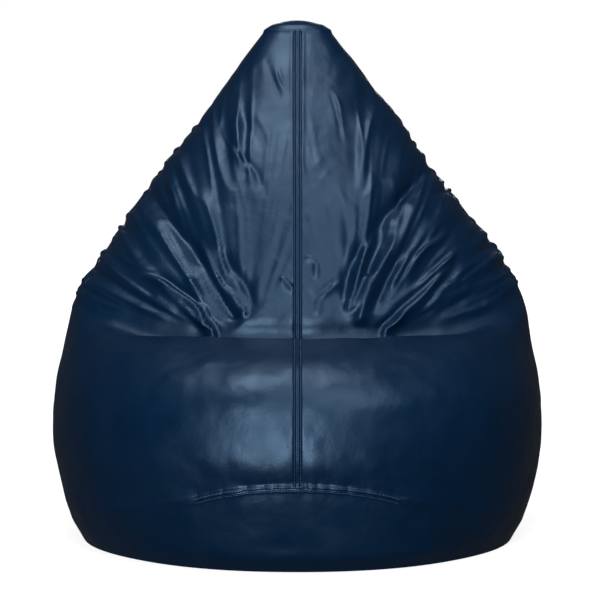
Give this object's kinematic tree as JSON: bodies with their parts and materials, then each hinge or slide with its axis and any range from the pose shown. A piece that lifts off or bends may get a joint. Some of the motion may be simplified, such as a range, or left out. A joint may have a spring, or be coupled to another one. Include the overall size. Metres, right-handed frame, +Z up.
{
  "type": "bean bag chair",
  "caption": "Teardrop bean bag chair in dark navy leatherette with a seat hollow, topstitched front seams, a top cap and a zip at the back.",
  "frame": {"origin": "on the floor, below the middle of the chair's width and depth", "axes": "+Z up, -Y the front where the sitter's legs come, +X the chair's side on the right as seen from the front"},
  "size_m": [0.88, 0.8665, 0.919],
  "materials": {
    "leatherette": "satin",
    "thread": "satin",
    "lining": "matte",
    "hook_and_loop": "matte",
    "foam_beads": "matte",
    "zip_tape": "matte",
    "zip_coil": "satin",
    "zip_metal": "satin"
  },
  "bodies": {
    "bag": {"base_panel": "leatherette", "front_left_panel": "leatherette", "front_right_panel": "leatherette", "left_side_panel": "leatherette", "right_side_panel": "leatherette", "back_left_panel": "leatherette", "back_right_panel": "leatherette", "top_cap": "leatherette", "front_seam_thread": "thread", "base_seam_thread": "thread", "liner_left": "lining", "liner_right": "lining", "liner_hook_strip": "hook_and_loop", "liner_loop_strip": "hook_and_loop", "bean_fill": "foam_beads", "zip_tape_left": "zip_tape", "zip_tape_right": "zip_tape", "zip_chain_left": "zip_coil", "zip_chain_right": "zip_coil", "zip_lower_stops": "zip_metal", "zip_upper_stop": "zip_metal"},
    "slider": {"zip_slider": "zip_metal"},
    "pull": {"zip_pull": "zip_metal"}
  },
  "joints": [
    {"name": "zip_slide", "type": "slide", "parent": "bag", "child": "slider", "axis": [0, 0, 1], "range_m": [0, 0.222]},
    {"name": "pull_hinge", "type": "hinge", "parent": "slider", "child": "pull", "pos_m": [0, 0.4308, 0.1215], "axis": [1, 0, 0], "range_deg": [0, 170]}
  ]
}
